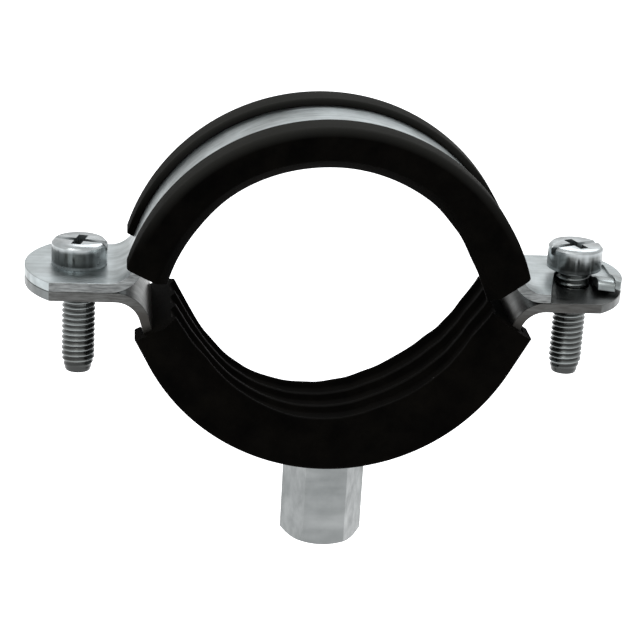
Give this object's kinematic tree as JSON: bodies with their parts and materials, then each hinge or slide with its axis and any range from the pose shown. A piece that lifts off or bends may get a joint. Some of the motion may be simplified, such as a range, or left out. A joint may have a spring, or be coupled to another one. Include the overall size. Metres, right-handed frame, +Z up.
{
  "type": "pipe clamp",
  "caption": "Two-screw pipe clamp: steel strip halves with ribbed rubber channel lining, a side-open quick-close ear and a hexagonal threaded boss below.",
  "frame": {"origin": "on the pipe axis, halfway along the pipe, where the two halves' ears meet", "axes": "+X towards the slotted ear, +Y along the pipe away from the slot's mouth, +Z up, away from the boss"},
  "size_m": [0.1069, 0.0264, 0.0809],
  "materials": {
    "band_steel": "bright zinc plate",
    "lining_rubber": "matte",
    "boss_steel": "zinc plate, satin",
    "screw_steel": "bright zinc plate"
  },
  "bodies": {
    "lower_half": {"lower_band": "band_steel", "lower_lining": "lining_rubber", "boss": "boss_steel"},
    "left_screw": {"left_screw": "screw_steel"},
    "upper_half": {"upper_band": "band_steel", "upper_lining": "lining_rubber"},
    "right_screw": {"right_screw": "screw_steel"}
  },
  "joints": [
    {"name": "left_screw_travel", "type": "slide", "parent": "lower_half", "child": "left_screw", "axis": [0, 0, 1], "range_m": [0, 0.012]},
    {"name": "upper_swivel", "type": "hinge", "parent": "left_screw", "child": "upper_half", "pos_m": [-0.0443, 0, 0], "axis": [0, 0, 1], "range_deg": [0, 180]},
    {"name": "right_screw_travel", "type": "slide", "parent": "lower_half", "child": "right_screw", "axis": [0, 0, 1], "range_m": [0, 0.012]}
  ],
  "couplings": [
    {"joint": "right_screw_travel", "follows": "left_screw_travel", "ratio": 1}
  ]
}
